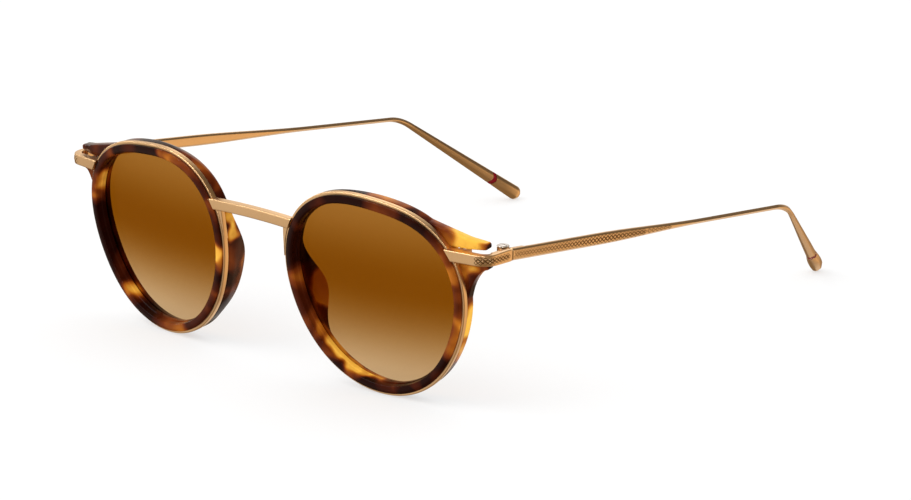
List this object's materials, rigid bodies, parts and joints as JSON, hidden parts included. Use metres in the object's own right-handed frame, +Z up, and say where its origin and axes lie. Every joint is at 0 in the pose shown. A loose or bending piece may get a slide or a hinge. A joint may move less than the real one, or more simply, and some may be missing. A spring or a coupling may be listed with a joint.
{
  "type": "folding sunglasses",
  "caption": "Round sunglasses with mottled acetate rims, a metal bridge, tinted lenses and slim folding metal temples that end in rounded paddle tips.",
  "frame": {"origin": "on the surface the glasses stand on, in the middle of the bounding box", "axes": "+Z up, -Y the way the wearer looks, +X the wearer's left"},
  "size_m": [0.1306, 0.1532, 0.0468],
  "materials": {
    "acetate": "polished, mottled near-black, red-brown and amber",
    "gold": "satin champagne gold plating",
    "screw": "polished",
    "enamel": "glossy crimson",
    "lens": "polished, brown tint that fades towards the bottom"
  },
  "bodies": {
    "front": {"bridge": "gold", "front_ring_left": "acetate", "rim_band_left": "gold", "rear_rim_left": "acetate", "lens_left": "lens", "end_piece_left": "gold", "rim_lock_left": "gold", "lock_screw_left": "screw", "hinge_front_left": "gold", "hinge_screw_left": "screw", "front_ring_right": "acetate", "rim_band_right": "gold", "rear_rim_right": "acetate", "lens_right": "lens", "end_piece_right": "gold", "rim_lock_right": "gold", "lock_screw_right": "screw", "hinge_front_right": "gold", "hinge_screw_right": "screw"},
    "left_temple": {"temple_left": "gold", "tip_ring_left": "enamel", "temple_tip_left": "gold", "hinge_rear_left": "gold"},
    "right_temple": {"temple_right": "gold", "tip_ring_right": "enamel", "temple_tip_right": "gold", "hinge_rear_right": "gold"}
  },
  "joints": [
    {"name": "left_fold", "type": "hinge", "parent": "front", "child": "left_temple", "pos_m": [0.0625, -0.06191, 0.03687], "axis": [0, 0, 1], "range_deg": [0, 86]},
    {"name": "right_fold", "type": "hinge", "parent": "front", "child": "right_temple", "pos_m": [-0.0625, -0.06191, 0.03687], "axis": [0, 0, -1], "range_deg": [0, 83]}
  ]
}
